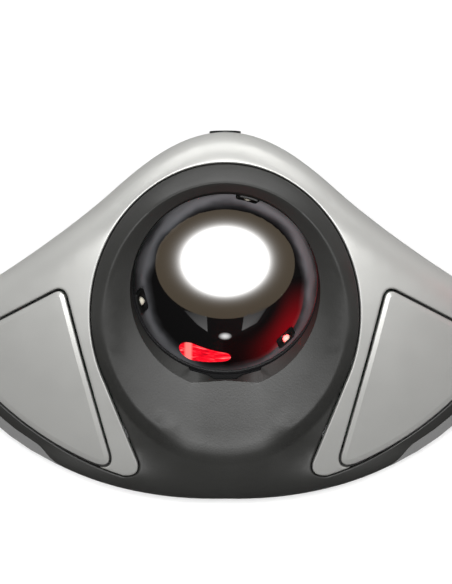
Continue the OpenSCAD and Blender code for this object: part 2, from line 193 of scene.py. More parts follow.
CASE_LINE = dense(mirrored(np.vstack([
    bezier((0, 35), (9.5, 35), (17.5, 28.8), (25, 22.2)),
    bezier((25, 22.2), (32, 15.9), (45, 6.6), (58, -0.8)),
    bezier((58, -0.8), (63, -3.6), (68.5, -10.5), (63.6, -17.5)),
    bezier((63.6, -17.5), (60.5, -29), (38, -50), (0, -49)),
    [(0, -49)]])), 0.8)
COVER_LINE = thinned(dense(mirrored(np.vstack([
    oval(CRATER, np.arange(90, -26.1, -1)),
    bezier((20.1, -39.5), (19.2, -41.6), (19.8, -43.9), palm_arc(17.65)[0], 10),
    palm_arc(np.arange(17.65, 64, 0.6)),
    [(90, -10), (90, -70), (0, -70)]])), 0.8), 0.2)
BUTTON_RIGHT = thinned(dense(np.vstack([
    fillet((32.9, -15), (36.6, -0.2), (62.4, -13.1), 2.4),
    fillet((36.6, -0.2), (62.4, -13.1), palm_arc(48, SEAM)[0], 5.5),
    palm_arc(np.arange(47, 22.9, -0.5), SEAM),
    fillet(palm_arc(23, SEAM)[0], (25.9, -41.6), (32.9, -15), 3.8),
    [(32.9, -15)]]), 0.6), 0.15)
BUTTON_LEFT = (BUTTON_RIGHT * [-1, 1])[::-1]


# ---- heights -------------------------------------------------------------------------------------
def dome(p):
    return DOME_TOP - DOME_R + np.sqrt(DOME_R**2 - p[:, 0] ** 2 - (p[:, 1] - DOME_Y) ** 2)


def plane(y, lift):
    return BALL_Z + lift + y * math.tan(TILT)


def rounded(d, r):
    """How far a rounded edge falls below the surface at distance d from it."""
    d = np.clip(d, 0, r)
    return r - np.sqrt(np.maximum(r * r - (r - d) ** 2, 0))


# ---- meshes over an outline ----------------------------------------------------------------------
def mesh_2d(loops, extra, keep, snap=1e-6):
    """Triangles over the area that keep tells, with edges along the loops and corners at the extra points."""
    edges, start = [], 0
    for loop in loops:
        m = len(loop)
        edges += [(start + i, start + (i + 1) % m) for i in range(m)]
        start += m
    flat = np.vstack([*loops, extra])
    verts, _, faces, *_ = delaunay_2d_cdt([Vector(p) for p in flat], edges, [], 0, snap)
    flat, faces = np.array([tuple(v) for v in verts]), np.array(faces)
    faces = faces[keep(flat[faces].mean(axis=1))]
    a, b, c = flat[faces[:, 0]], flat[faces[:, 1]], flat[faces[:, 2]]
    area = (b[:, 0] - a[:, 0]) * (c[:, 1] - a[:, 1]) - (b[:, 1] - a[:, 1]) * (c[:, 0] - a[:, 0])
    faces[area < 0] = faces[area < 0][:, ::-1]
    used = np.unique(faces)
    index = np.full(len(flat), -1)
    index[used] = np.arange(len(used))
    return flat[used], index[faces]


def slab(name, loops, keep, top, under, rings, grid, sharp=35):
    """A surface over an outline, closed below: loops are the constraint outlines, rings how far from each of them
    extra points run, and keep tells the area."""
    points = list(loops)
    for loop, distances in zip(loops, rings):
        side = normals_in(loop)
        for r in distances:
            for way in (r, -r):
                q = loop + way * side
                q = q[keep(q)]
                near = np.min([gap_to(other, q) for other in loops], axis=0)
                points.append(q[near > 0.93 * r])
    low = np.max([np.min([loop.min(axis=0) for loop in loops], axis=0), CASE_LINE.min(axis=0)], axis=0)
    high = np.min([np.max([loop.max(axis=0) for loop in loops], axis=0), CASE_LINE.max(axis=0)], axis=0)
    xs, ys = np.arange(low[0], high[0], grid), np.arange(low[1], high[1], grid * 0.866)
    net = np.vstack([np.c_[xs + (grid / 2 if i % 2 else 0), np.full(len(xs), y)] for i, y in enumerate(ys)])
    net = net[keep(net)]
    taken = np.vstack(points)
    near = np.min([gap_to(loop, net) for loop in loops], axis=0)
    net = net[near > grid * 0.5]
    clear = np.ones(len(net), bool)
    for k in range(0, len(net), 500):
        gaps = np.linalg.norm(net[k:k + 500, None] - taken[None], axis=2).min(axis=1)
        clear[k:k + 500] = gaps > 0.55 * grid
    flat, faces = mesh_2d(loops, np.vstack(points[len(loops):] + [net[clear]]), keep, 1e-5)
    gaps = np.array([gap_to(loop, flat) for loop in loops]).T
    z_top = top(flat, gaps)
    z_low = np.minimum(under(flat, gaps, z_top), z_top - 0.25)
    return closed(name, np.c_[flat, z_top], np.c_[flat, z_low], faces, sharp)


def closed(name, upper, lower, faces, sharp):
    """Two surfaces with the same faces, joined along their free edges."""
    n = len(upper)
    directed = dict.fromkeys((f[i], f[(i + 1) % 3]) for f in faces for i in range(3))
    walls = [(b, a, a + n, b + n) for a, b in directed if (b, a) not in directed]
    all_faces = [tuple(int(i) for i in f) for f in faces]
    all_faces += [tuple(int(i) + n for i in f[::-1]) for f in faces]
    all_faces += [tuple(int(i) for i in f) for f in walls]
    return piece(name, np.vstack([upper, lower]), all_faces, sharp)


def piece(name, points, faces, sharp=35):
    mesh = bpy.data.meshes.new(name)
    mesh.from_pydata([tuple(float(c) * MM for c in p) for p in points], [], faces)
    mesh.update()
    mesh.shade_smooth()
    mesh.set_sharp_from_angle(angle=math.radians(sharp))
    obj = bpy.data.objects.new(name, mesh)
    bpy.context.scene.collection.objects.link(obj)
    return obj


def stand_for(obj, body, node):
    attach(obj, body)
    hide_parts(node)
    return obj


# ---- materials -----------------------------------------------------------------------------------
def noise_at(tree, where, scale, detail):
    noise = tree.nodes.new("ShaderNodeTexNoise")
    noise.inputs["Scale"].default_value = scale
    noise.inputs["Detail"].default_value = detail
    tree.links.new(where, noise.inputs["Vector"])
    return noise


def map_range(tree, value, from_min, from_max, to_min=0.0, to_max=1.0):
    span = tree.nodes.new("ShaderNodeMapRange")
    for socket, number in (("From Min", from_min), ("From Max", from_max), ("To Min", to_min), ("To Max", to_max)):
        span.inputs[socket].default_value = number
    tree.links.new(value, span.inputs["Value"])
    return span.outputs["Result"]


def color_ramp(tree, factor, stops, interpolation="LINEAR"):
    band = tree.nodes.new("ShaderNodeValToRGB")
    band.color_ramp.interpolation = interpolation
    for k, (at, color) in enumerate(stops):
        stop = band.color_ramp.elements[k] if k < 2 else band.color_ramp.elements.new(at)
        stop.position = at
        stop.color = (*color, 1)
    tree.links.new(factor, band.inputs["Fac"])
    return band.outputs["Color"]


def vector_math(tree, operation, vector, other=None):
    node = tree.nodes.new("ShaderNodeVectorMath")
    node.operation = operation
    tree.links.new(vector, node.inputs[0])
    if other is not None:
        node.inputs[1].default_value = other
    return node


def material(name, color, rough, metallic=0.0, coat=0.0, coat_rough=0.1, shade=0.0, shade_scale=60.0,
             rough_play=0.0, grain=0.0, grain_scale=2500.0, specular=0.5):
    """A moulded or painted surface: soft colour drift, roughness play and fine grain, all in object space."""
    m = bpy.data.materials.new(name)
    m.use_nodes = True
    tree = m.node_tree
    shader = tree.nodes["Principled BSDF"]
    shader.inputs["Base Color"].default_value = (*color, 1)
    for socket, number in (("Roughness", rough), ("Metallic", metallic), ("Coat Weight", coat),
                           ("Coat Roughness", coat_rough), ("IOR", 1.5), ("Specular IOR Level", specular)):
        shader.inputs[socket].default_value = number
    where = tree.nodes.new("ShaderNodeTexCoord").outputs["Object"]
    if shade:
        noise = noise_at(tree, where, shade_scale, 4)
        mix = tree.nodes.new("ShaderNodeMix")
        mix.data_type = "RGBA"
        mix.inputs["A"].default_value = (*(c * (1 - shade) for c in color), 1)
        mix.inputs["B"].default_value = (*(min(1, c * (1 + shade)) for c in color), 1)
        tree.links.new(noise.outputs["Fac"], mix.inputs["Factor"])
        tree.links.new(mix.outputs["Result"], shader.inputs["Base Color"])
    if rough_play:
        noise = noise_at(tree, where, 140, 5)
        uneven = map_range(tree, noise.outputs["Fac"], 0.3, 0.7, max(0.0, rough - rough_play), rough + rough_play)
        tree.links.new(uneven, shader.inputs["Roughness"])
    if grain:
        noise = noise_at(tree, where, grain_scale, 3)
        bump = tree.nodes.new("ShaderNodeBump")
        bump.inputs["Strength"].default_value = grain
        bump.inputs["Distance"].default_value = 0.0001
        tree.links.new(noise.outputs["Fac"], bump.inputs["Height"])
        tree.links.new(bump.outputs["Normal"], shader.inputs["Normal"])
    return m


SILVER = material("silver_satin", (0.54, 0.54, 0.52), 0.42, metallic=0.55, shade=0.05, shade_scale=45,
                  rough_play=0.03, grain=0.10, grain_scale=3800)
CHARCOAL = material("charcoal_matt", (0.026, 0.026, 0.0245), 0.40, shade=0.08, shade_scale=90,
                    rough_play=0.05, grain=0.22, grain_scale=2600, specular=0.6)
SEAT_BLACK = material("black_moulded", (0.010, 0.010, 0.010), 0.32, shade=0.3, shade_scale=400, grain=0.2)
RIM_BLACK = material("black_rim", (0.006, 0.006, 0.0065), 0.22, shade=0.2, shade_scale=300)
POLISH = (0.0022, 0.0021, 0.0022)
# the painted reflection on the cup's wall: a greyer band that stands in for the surroundings mirrored near the
# rim;
# an oval's middle and half widths on the plan, in metres, where the band begins and ends in that oval's measure,
# and its tones in between
REFLECTION_BAND_MIDDLE = (0.0004, 0.0003, 0.0)
REFLECTION_BAND_HALF = (0.0172, 0.0180)
REFLECTION_BAND_SPAN = (1.03, 1.33)
REFLECTION_BAND_TONES = [(0.08, POLISH), (0.24, (0.016, 0.016, 0.017)), (0.38, (0.066, 0.067, 0.072)),
              (0.52, (0.094, 0.095, 0.101)), (0.66, (0.060, 0.060, 0.063)), (0.78, (0.015, 0.015, 0.016))]


def polished_cup_material():
    """Black polish with a painted reflection: an uneven, greyer band below the rim stands in for the surroundings
    mirrored there.
    """
    m = material("black_polished", POLISH, 0.025, specular=0.12)
    tree = m.node_tree
    where = tree.nodes.new("ShaderNodeTexCoord").outputs["Object"]
    centred = vector_math(tree, "SUBTRACT", where, REFLECTION_BAND_MIDDLE)
    scaled = vector_math(tree, "MULTIPLY", centred.outputs["Vector"], (1 / REFLECTION_BAND_HALF[0], 1 / REFLECTION_BAND_HALF[1], 0.0))
    far_out = vector_math(tree, "LENGTH", scaled.outputs["Vector"])
    sway = tree.nodes.new("ShaderNodeMath")
    sway.operation = "MULTIPLY_ADD"
    sway.inputs[1].default_value = 0.12
    tree.links.new(noise_at(tree, where, 130, 2).outputs["Fac"], sway.inputs[0])
    tree.links.new(far_out.outputs["Value"], sway.inputs[2])
    band = color_ramp(tree, map_range(tree, sway.outputs["Value"], *REFLECTION_BAND_SPAN), REFLECTION_BAND_TONES, "B_SPLINE")
    tree.links.new(band, tree.nodes["Principled BSDF"].inputs["Base Color"])
    return m


GLOSS = polished_cup_material()


def wear(obj, mat):
    obj.data.materials.clear()
    obj.data.materials.append(mat)
    return obj


# ---- silver upper shell --------------------------------------------------------------------------
def in_case(p):
    return inside(CASE_LINE, p)


COVER_SEAM = 0.32
BUTTON_SEAM = 0.62
SILVER_INNER = inset(COVER_LINE, -COVER_SEAM)
SILVER_RIGHT = inset(BUTTON_RIGHT, -BUTTON_SEAM)
SILVER_LEFT = inset(BUTTON_LEFT, -BUTTON_SEAM)
SILHOUETTE_R = 7.5      # rounding of the case's outer edge


def edge_fall(p, d, most=SILHOUETTE_R):
    """How far the case's rounded outer edge falls below the dome."""
    r = np.minimum(most, 0.82 * (dome(p) - SPLIT_Z - 0.3))
    return rounded(d, r)


def silver_keep(p):
    return in_case(p) & ~inside(SILVER_INNER, p) & ~inside(SILVER_RIGHT, p) & ~inside(SILVER_LEFT, p)


def silver_top(p, d):
    z = dome(p) - edge_fall(p, d[:, 0])
    for k in (1, 2, 3):
        z = z - rounded(d[:, k], EDGE_R)
    return z


def shell_under(z, edge, seam):
    """A shell's inner face: a deeper lip along its seams, and a wall down to the base along its outer edge."""
    low = z - SKIN - 2.6 * (1 - ramp(seam, 0.6, 1.4))
    wall = 1 - ramp(edge, 2.0, 2.9)
    return np.maximum(low * (1 - wall) + SPLIT_Z * wall, SPLIT_Z)


def silver_under(p, d, z):
    return shell_under(z, d[:, 0], np.min(d[:, 1:], axis=1))


OUTER_RINGS = (0.12, 0.35, 0.7, 1.15, 1.7, 2.3, 3.0, 3.9, 4.9, 6.0, 7.2, 8.4)
EDGE_RINGS = (0.06, 0.16, 0.28, 0.42, 0.7, 1.3)
top_shell = slab("silver_shell", [CASE_LINE, SILVER_INNER, SILVER_RIGHT, SILVER_LEFT], silver_keep,
                 silver_top, silver_under, [OUTER_RINGS, EDGE_RINGS, EDGE_RINGS, EDGE_RINGS], 1.7)
# the cable inlet's bore through the nose
INLET_Z, INLET_R = 12.5, 2.78
INLET_FROM, INLET_TO = 29.0, 37.0
SIDES = 48
turns = np.linspace(0, 2 * math.pi, SIDES, endpoint=False)
ends = [np.c_[INLET_R * np.cos(turns), np.full(SIDES, y), INLET_Z + INLET_R * np.sin(turns)]
        for y in (INLET_FROM, INLET_TO)]
sides = [(SIDES + i, SIDES + (i + 1) % SIDES, (i + 1) % SIDES, i) for i in range(SIDES)]
drill = piece("drill", np.vstack(ends), sides + [tuple(range(SIDES)), tuple(range(2 * SIDES - 1, SIDES - 1, -1))])
wear(drill, SILVER)
wear(top_shell, SILVER)
hole = top_shell.modifiers.new("cable_hole", "BOOLEAN")
hole.operation = "DIFFERENCE"
hole.solver = "EXACT"
hole.object = drill
drilled = bpy.data.meshes.new_from_object(top_shell.evaluated_get(bpy.context.evaluated_depsgraph_get()))
top_shell.modifiers.clear()
top_shell.data = drilled
drilled.set_sharp_from_angle(angle=math.radians(35))
bpy.data.objects.remove(drill)
stand_for(top_shell, "case", "top_shell")


# ---- charcoal cover: collar round the socket, spine and palm rest --------------------------------
def ratio(shape, p):
    (a, b), mid = shape
    return np.hypot(p[:, 0] / a, (p[:, 1] - mid) / b)


def soft_min(a, b, k):
    h = np.clip(0.5 + 0.5 * (b - a) / k, 0, 1)
    return b + (a - b) * h - k * h * (1 - h)


def notched(line, half, xs, ys):
    """A closed line whose stretch nearest the user, up to half on each side, takes the ys given at the xs."""
    out = line.copy()
    near = (np.abs(line[:, 0]) < half) & (line[:, 1] < 0)
    out[near, 1] = np.interp(np.abs(line[near, 0]), xs, ys)
    return out


# the cup's front tab shows through the lip, under a shallow V in the opening's edge
LIP_TAB = (8.1, (0, 2.5, 4.1, 8.1), (-20.95, -20.95, -20.0, -18.9))
OPENING_NOTCH = (7.7, (0, 7.7), (-21.2, -21.75))
LIP_LINE, OPENING_LINE = (thinned(dense(notched(oval(shape, np.arange(360, 0, -0.75)), *notch), 0.4), 0.12)
                          for shape, notch in ((LIP, LIP_TAB), (OPENING, OPENING_NOTCH)))
CREST_LINE = oval(CREST, np.arange(360, 0, -1.0))
FOOT_LINE = oval(CRATER, np.arange(360, 0, -1.0))


def cover_keep(p):
    return in_case(p) & inside(COVER_LINE, p) & ~inside(LIP_LINE, p)


def cover_top(p, d):
    x, y = np.abs(p[:, 0]), p[:, 1]
    sink = 3.4 * ramp(x, 8, 20) * ramp(-y, 8, 24) * (1 - ramp(-y, 36, 46))
    low = dome(p) - sink - edge_fall(p, d[:, 0])
    crest = plane(y, CREST_LIFT)
    e_foot, e_crest = ratio(CRATER, p), ratio(CREST, p)
    d_lip, d_open, d_crest = d[:, 2], d[:, 3], d[:, 4]
    # out runs from 0 on the crest to 1 at the crater's foot, and on below 0 inside the crest
    out = np.where(e_crest > 1, (e_crest - 1) / (np.maximum(e_crest - 1, 0) + np.maximum(1 - e_foot, TINY)),
                   (e_crest - 1) / 0.11)
    out = np.clip(out, -1, 1)
    flank = crest * (1 - out) + low * out
    inward = np.where(e_crest < 1, d_crest, -d_crest) / np.maximum(d_crest + d_open, TINY)
    dish = crest + (OPENING_LIFT - CREST_LIFT) * inward
    # the two meet in a ridge, or in a valley where the palm rest stands above the crest
    ridge, valley = soft_min(flank, dish, 0.5), -soft_min(-flank, -dish, 0.5)
    share = np.clip(0.5 + (crest - low) / 3, 0, 1)
    meet = valley + (ridge - valley) * share
    inner = 1 - ramp(e_crest, 0.86, 0.94)
    outer = ramp(e_crest, 1.03, 1.08)
    z = meet + (dish - meet) * inner
    z = z + (flank - z) * outer
    z = np.where(e_foot < 1, z, low)
    chamfer = d_lip / np.maximum(d_lip + d_open, TINY)
    well = plane(y, LIP_LIFT) * (1 - chamfer) + plane(y, OPENING_LIFT) * chamfer
    z = np.where(inside(OPENING_LINE, p), well, z)
    return z - rounded(d[:, 1], EDGE_R)


def cover_under(p, d, z):
    low = shell_under(z, d[:, 0], d[:, 1])
    near = ratio(OPENING, p) < 1.06
    return np.where(near, np.maximum(low, plane(p[:, 1], LIP_LIFT - 0.35)), low)


cover = slab("charcoal_cover", [CASE_LINE, COVER_LINE, LIP_LINE, OPENING_LINE, CREST_LINE, FOOT_LINE], cover_keep,
             cover_top, cover_under,
             [OUTER_RINGS, EDGE_RINGS, (0.2, 0.5), (0.15, 0.4, 0.8), (0.25, 0.55, 0.9, 1.4), (0.4, 1.0)], 1.6, 40)
stand_for(wear(cover, CHARCOAL), "case", "centre_cover")


# ---- buttons -------------------------------------------------------------------------------------
BEVEL_W = 1.15
BEVEL_FALL = 0.30
BUTTON_SKIN = 2.4


def button_top(p, d):
    edge = d[:, 0]
    return dome(p) - BEVEL_FALL * np.clip(1 - edge / BEVEL_W, 0, 1) - rounded(edge, 0.3)


def button_under(p, d, z):
    return np.maximum(dome(p) - BUTTON_SKIN - 1.8 * (1 - ramp(d[:, 0], 0.7, 1.6)), SPLIT_Z + 0.4)


BUTTON_RINGS = (0.06, 0.14, 0.24, 0.36, 0.6, 0.9)
CREASE_RINGS = (0.12, 0.5, 1.2)
for side, line in (("right", BUTTON_RIGHT), ("left", BUTTON_LEFT)):
    button = slab(f"{side}_button_cap", [line, inset(line, BEVEL_W)], lambda p, line=line: inside(line, p),
                  button_top, button_under, [BUTTON_RINGS, CREASE_RINGS], 1.6, 8)
    stand_for(wear(button, SILVER), f"{side}_button", f"{side}_button")


# ---- cup -----------------------------------------------------------------------------------------
def turn_x(a):
    return np.array([[1, 0, 0], [0, math.cos(a), -math.sin(a)], [0, math.sin(a), math.cos(a)]])


def turn_z(a):
    return np.array([[math.cos(a), -math.sin(a), 0], [math.sin(a), math.cos(a), 0], [0, 0, 1]])


SOCKET = turn_x(TILT)


def towards(turn, angle):
    return turn_z(-math.radians(turn)) @ turn_x(math.radians(angle))


def polar(d):
    """Socket-frame directions as points of a plane, as far from its middle as the bottom pole is in degrees."""
    d = d / np.linalg.norm(d, axis=1)[:, None]
    theta = np.degrees(np.arccos(np.clip(-d[:, 2], -1, 1)))
    phi = np.arctan2(d[:, 0], d[:, 1])
    return np.c_[theta * np.sin(phi), theta * np.cos(phi)]


def on_sphere(uv, r, squeeze=0.0):
    """The way back from polar to points on a sphere, its rim drawn in by squeeze degrees."""
    theta = np.hypot(uv[:, 0], uv[:, 1])
    phi = np.arctan2(uv[:, 0], uv[:, 1])
    theta = np.radians(theta - squeeze * ramp(theta, 70, RIM_ANGLE))
    d = np.c_[np.sin(theta) * np.sin(phi), np.sin(theta) * np.cos(phi), -np.cos(theta)]
    return (r * d) @ SOCKET.T + CUP_MIDDLE


def window_outline(grow, n=24):
    """The sensor window's outline, wide at the left, in the plane that touches the bowl at its middle."""
    lean = math.asin((WINDOW_WIDE - WINDOW_NARROW) / WINDOW_LONG)
    wide = WINDOW_LONG * 0.43
    a = np.linspace(-math.pi / 2 - lean, math.pi / 2 + lean, n)
    b = np.linspace(math.pi / 2 + lean, 1.5 * math.pi - lean, n // 2)
    head = np.c_[wide + (WINDOW_WIDE + grow) * np.cos(a), (WINDOW_WIDE + grow) * np.sin(a)]
    tail = np.c_[wide - WINDOW_LONG + (WINDOW_NARROW + grow) * np.cos(b), (WINDOW_NARROW + grow) * np.sin(b)]
    q = dense(np.vstack([head, tail]), 0.35)
    c, k = math.cos(WINDOW_ROLL), math.sin(WINDOW_ROLL)
    return q @ np.array([[c, k], [-k, c]])


WINDOW = towards(WINDOW_TURN, WINDOW_ANGLE)


def on_bowl(q, r=CUP_IN):
    """Points of the plane that touches a sphere at its bottom pole, dropped onto that sphere."""
    return np.c_[q, -np.sqrt(r**2 - (q**2).sum(axis=1))]


def window_polar():
    return polar(on_bowl(window_outline(0.0)) @ WINDOW.T @ SOCKET)


def pocket_polar(turn):
    x, y = HOLDER[0] / 2 + 0.05, HOLDER[1] / 2 + 0.05
    q = dense(np.array([(-x, -y), (x, -y), (x, y), (-x, y)]), 0.3)
    return polar(on_bowl(q) @ towards(turn, BEAD_ANGLE).T)


def net_over(xs, ys):
    x, y = np.meshgrid(xs, ys)
    return np.c_[x.ravel(), y.ravel()]


RIM_N = 300
SQUEEZE = 3.2          # degrees by which the cup's outside ends below its rim
holes = [window_polar()] + [pocket_polar(t) for t in BEAD_TURNS]
around = np.linspace(0, 2 * math.pi, RIM_N, endpoint=False)
rim_loop = RIM_ANGLE * np.c_[np.sin(around), np.cos(around)]
spread = [np.zeros((1, 2))]
for theta in np.arange(2.0, RIM_ANGLE - 0.5, 1.6):
    n = max(6, int(2 * math.pi * theta / 1.8))
    t = (np.arange(n) + 0.5 * (int(theta * 10) % 2)) * 2 * math.pi / n
    spread.append(theta * np.c_[np.sin(t), np.cos(t)])
spread = np.vstack(spread)
spread = spread[np.min([gap_to(h, spread) for h in holes], axis=0) > 0.6]


def bowl_keep(p):
    out = np.hypot(p[:, 0], p[:, 1]) < RIM_ANGLE
    for h in holes:
        out &= ~inside(h, p)
    return out


uv, bowl_faces = mesh_2d([rim_loop] + holes, spread[bowl_keep(spread)], bowl_keep)
n_uv = len(uv)
inner = on_sphere(uv, CUP_IN)
outer = on_sphere(uv, CUP_OUT, squeeze=SQUEEZE)


def ring_points(r, z, phi):
    q = np.c_[r * np.sin(phi), r * np.cos(phi), np.full(len(phi), z)]
    return q @ SOCKET.T + CUP_MIDDLE


faces = [tuple(int(i) for i in f) for f in bowl_faces]
faces += [tuple(int(i) + n_uv for i in f[::-1]) for f in bowl_faces]
directed = {(f[i], f[(i + 1) % 3]) for f in bowl_faces for i in range(3)}
for a, b in directed:
    if (b, a) not in directed:
        faces.append((int(b), int(a), int(a) + n_uv, int(b) + n_uv))
cup = piece("polished_cup", np.vstack([inner, outer]), faces, 40)

# the rim and the flange below it, a ring of its own
rim_r = CUP_IN * math.sin(math.radians(RIM_ANGLE))
wall = math.radians(RIM_ANGLE - SQUEEZE)
wall_r, wall_z = CUP_OUT * math.sin(wall), -CUP_OUT * math.cos(wall)
bead_profile = ((0.02, 0.02), (0.08, 0.16), (0.22, 0.24), (0.8, 0.24), (0.95, 0.16), (1.05, 0.0))
profile = [(rim_r + r, -RIM_DROP + z) for r, z in bead_profile]
profile += [(FLANGE_R - 0.15, -RIM_DROP), (FLANGE_R, -RIM_DROP - 0.15), (FLANGE_R, -RIM_DROP - FLANGE_T),
            (wall_r + 0.05, -RIM_DROP - FLANGE_T)]
if wall_z > -RIM_DROP - FLANGE_T:
    profile.append((wall_r + 0.05, wall_z))
points = [ring_points(r, z, around) for r, z in profile]
faces = []
for k in range(len(profile)):
    for i in range(RIM_N):
        j, low_row, high_row = (i + 1) % RIM_N, k * RIM_N, (k + 1) % len(profile) * RIM_N
        faces.append((low_row + i, low_row + j, high_row + j, high_row + i))
rim = piece("cup_rim", np.vstack(points), faces, 40)

# The bowl is shaded flatter than its sphere inside MIRROR_EDGE, and as the sphere it is beyond SPHERE_EDGE.
FLATTEN = 0.45
MIRROR_R = 20.5
MIRROR_EDGE, SPHERE_EDGE = 17.9, 19.8


def mirror_lean(p):
    """Shading slope of the polished bowl at a point of its plan, in radians."""
    return FLATTEN * np.hypot(p[:, 0], p[:, 1]) / MIRROR_R


true_normal = (CUP_MIDDLE - inner) / CUP_IN
plan = inner[:, :2]
lean = mirror_lean(plan)
out_dir = plan / np.maximum(np.hypot(plan[:, 0], plan[:, 1]), TINY)[:, None]
flat_normal = np.c_[-out_dir * np.sin(lean)[:, None], np.cos(lean)]
blend_in = ramp(np.hypot(plan[:, 0], plan[:, 1]), MIRROR_EDGE, SPHERE_EDGE)[:, None]
bowl_normal = flat_normal * (1 - blend_in) + true_normal * blend_in
bowl_normal /= np.linalg.norm(bowl_normal, axis=1)[:, None]
mesh = cup.data
loop_normals = [(0.0, 0.0, 0.0)] * len(mesh.loops)
for polygon in list(mesh.polygons)[:len(bowl_faces)]:
    for k in polygon.loop_indices:
        loop_normals[k] = tuple(bowl_normal[mesh.loops[k].vertex_index])
mesh.normals_split_custom_set(loop_normals)
stand_for(wear(cup, GLOSS), "case", "ball_cup")
stand_for(wear(rim, RIM_BLACK), "case", "ball_cup")

# the sensor window: a clear insert a little below the bowl's face
outline = window_outline(-0.05)
reach = WINDOW_LONG / 2 + WINDOW_WIDE
steps = np.arange(-reach - 1, reach + 1, 0.45)
net = net_over(steps, steps)
net = net[inside(outline, net) & (gap_to(outline, net) > 0.2)]
flat, lens_faces = mesh_2d([outline], net, lambda p: inside(outline, p))


def behind_bowl(r):
    return (r * on_bowl(flat) / CUP_IN) @ WINDOW.T + CUP_MIDDLE


crown = 0.3 - 0.18 * ramp(gap_to(outline, flat), 0, 1.2)
front = behind_bowl(1) + (CUP_IN - 1 + crown)[:, None] * (behind_bowl(1) - CUP_MIDDLE)
lens = closed("clear_window", front, behind_bowl(CUP_OUT - 0.1), lens_faces, 40)

# the beads' black seats: a curved block on the bowl's wall round each bead, clear of the seated ball
SEAT_SPANS = ((-3.3, 3.4), (-1.9, 2.2), (-2.2, 3.0))       # how far each block runs down and up the wall
SEAT_HALF = 2.4
SEAT_CORNER = 0.5
SEAT_FACE, SEAT_BACK = BALL_R + 0.42, BALL_R + 1.65        # radii about the ball's middle
SEAT_HOLE = 1.45
SEAT_ROUND = 0.22
ring = np.linspace(0, 2 * math.pi, 28, endpoint=False)
hole = SEAT_HOLE * np.c_[np.cos(ring), np.sin(ring)]
for k, (turn, (low_y, high_y)) in enumerate(zip(BEAD_TURNS, SEAT_SPANS)):
    corner = [(SEAT_HALF - SEAT_CORNER, low_y), (SEAT_HALF, low_y + SEAT_CORNER),
              (SEAT_HALF, high_y - SEAT_CORNER), (SEAT_HALF - SEAT_CORNER, high_y)]
    outline = dense(np.array(corner + [(-x, y) for x, y in corner[::-1]]), 0.4)

    def on_seat(p):
        return inside(outline, p) & ~inside(hole, p)

    net = net_over(np.arange(-2.2, 2.3, 0.4), np.arange(-3.1, 3.3, 0.4))
    net = net[on_seat(net) & (gap_to(outline, net) > 0.12) & (gap_to(hole, net) > 0.12)]
    flat, seat_faces = mesh_2d([outline, hole], net, on_seat)
    edge = np.minimum(gap_to(outline, flat), gap_to(hole, flat))
    d = on_bowl(flat, BALL_R) / BALL_R @ towards(turn, BEAD_ANGLE).T @ SOCKET.T
    face = SEAT_FACE + rounded(edge, SEAT_ROUND)
    seat = closed(f"bead_seat_{k + 1}", d * face[:, None] + [0, 0, BALL_Z], d * SEAT_BACK + [0, 0, BALL_Z],
                  seat_faces, 40)
    stand_for(wear(seat, SEAT_BLACK), "case", "bead_holders")

# ---- the other CAD nodes keep their shapes -------------------------------------------------------
PLAIN = {
    "base_tray": CHARCOAL,
    "ball_shell": material("ball_lacquer", (0.30, 0.008, 0.02), 0.12, coat=1.0, coat_rough=0.03, shade=0.35,
                           shade_scale=900),
    "ball_core": material("ball_heart", (0.02, 0.02, 0.02), 0.4, shade=0.2),
    "support_beads": material("ceramic", (0.62, 0.58, 0.48), 0.15, shade=0.06, shade_scale=700),
    "cable_grommet": SEAT_BLACK,
    "sensor_board": material("solder_mask", (0.01, 0.07, 0.03), 0.3, coat=0.4, shade=0.15, shade_scale=500),
    "optical_sensor": material("epoxy", (0.012, 0.012, 0.014), 0.45, shade=0.2, shade_scale=600, grain=0.2),
    "board_link": material("gilded", (0.75, 0.52, 0.2), 0.25, metallic=1.0, shade=0.1, shade_scale=600),
    "crystal": material("drawn_can", (0.6, 0.61, 0.63), 0.28, metallic=1.0, shade=0.08, shade_scale=500),
    "capacitors": material("sleeve", (0.02, 0.03, 0.09), 0.25, shade=0.2, shade_scale=500),
    "cable_header": material("nylon", (0.7, 0.68, 0.6), 0.4, shade=0.05, shade_scale=300),
    "left_plunger": material("plunger_red", (0.45, 0.06, 0.03), 0.35, shade=0.1, shade_scale=500),
    "left_hinge_pin": material("bright_steel", (0.55, 0.56, 0.58), 0.3, metallic=1.0, shade=0.1, shade_scale=500,
                               grain=0.1),
    "rubber_feet": material("foot_rubber", (0.018, 0.018, 0.019), 0.75, shade=0.2, shade_scale=300, grain=0.5,
                            grain_scale=1500),
    "base_label": material("label_foil", (0.6, 0.6, 0.58), 0.35, metallic=0.4, shade=0.04, shade_scale=200),
}
SAME = {
    "main_board": "sensor_board", "controller_chip": "optical_sensor", "left_switch": "optical_sensor",
    "right_switch": "optical_sensor", "right_plunger": "left_plunger", "right_hinge_pin": "left_hinge_pin",
    "case_screws": "left_hinge_pin", "board_screws": "left_hinge_pin", "cup_screws": "left_hinge_pin",
    "led_clip": "cable_grommet",
}
for node, mat in PLAIN.items():
    wear(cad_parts[node], mat)
for node, like in SAME.items():
    wear(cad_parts[node], PLAIN[like])


# painted light of the sensor lamp through the window, as emission: the tones of its streaks, and the mask of its
# pale strip
STREAK_TONES = [(0.30, (0.10, 0.0, 0.004)), (0.44, (0.55, 0.001, 0.010)), (0.55, (0.95, 0.006, 0.02)),
                (0.66, (1.0, 0.12, 0.13)), (0.78, (1.0, 0.5, 0.45))]
STRIP_TONES = [(0.0, (0, 0, 0)), (0.74, (0, 0, 0)), (0.79, (1, 1, 1)), (0.88, (0.9, 0.9, 0.9)), (0.93, (0, 0, 0))]
STREAKS_ALONG, STREAKS_ACROSS = 260.0, 1500.0


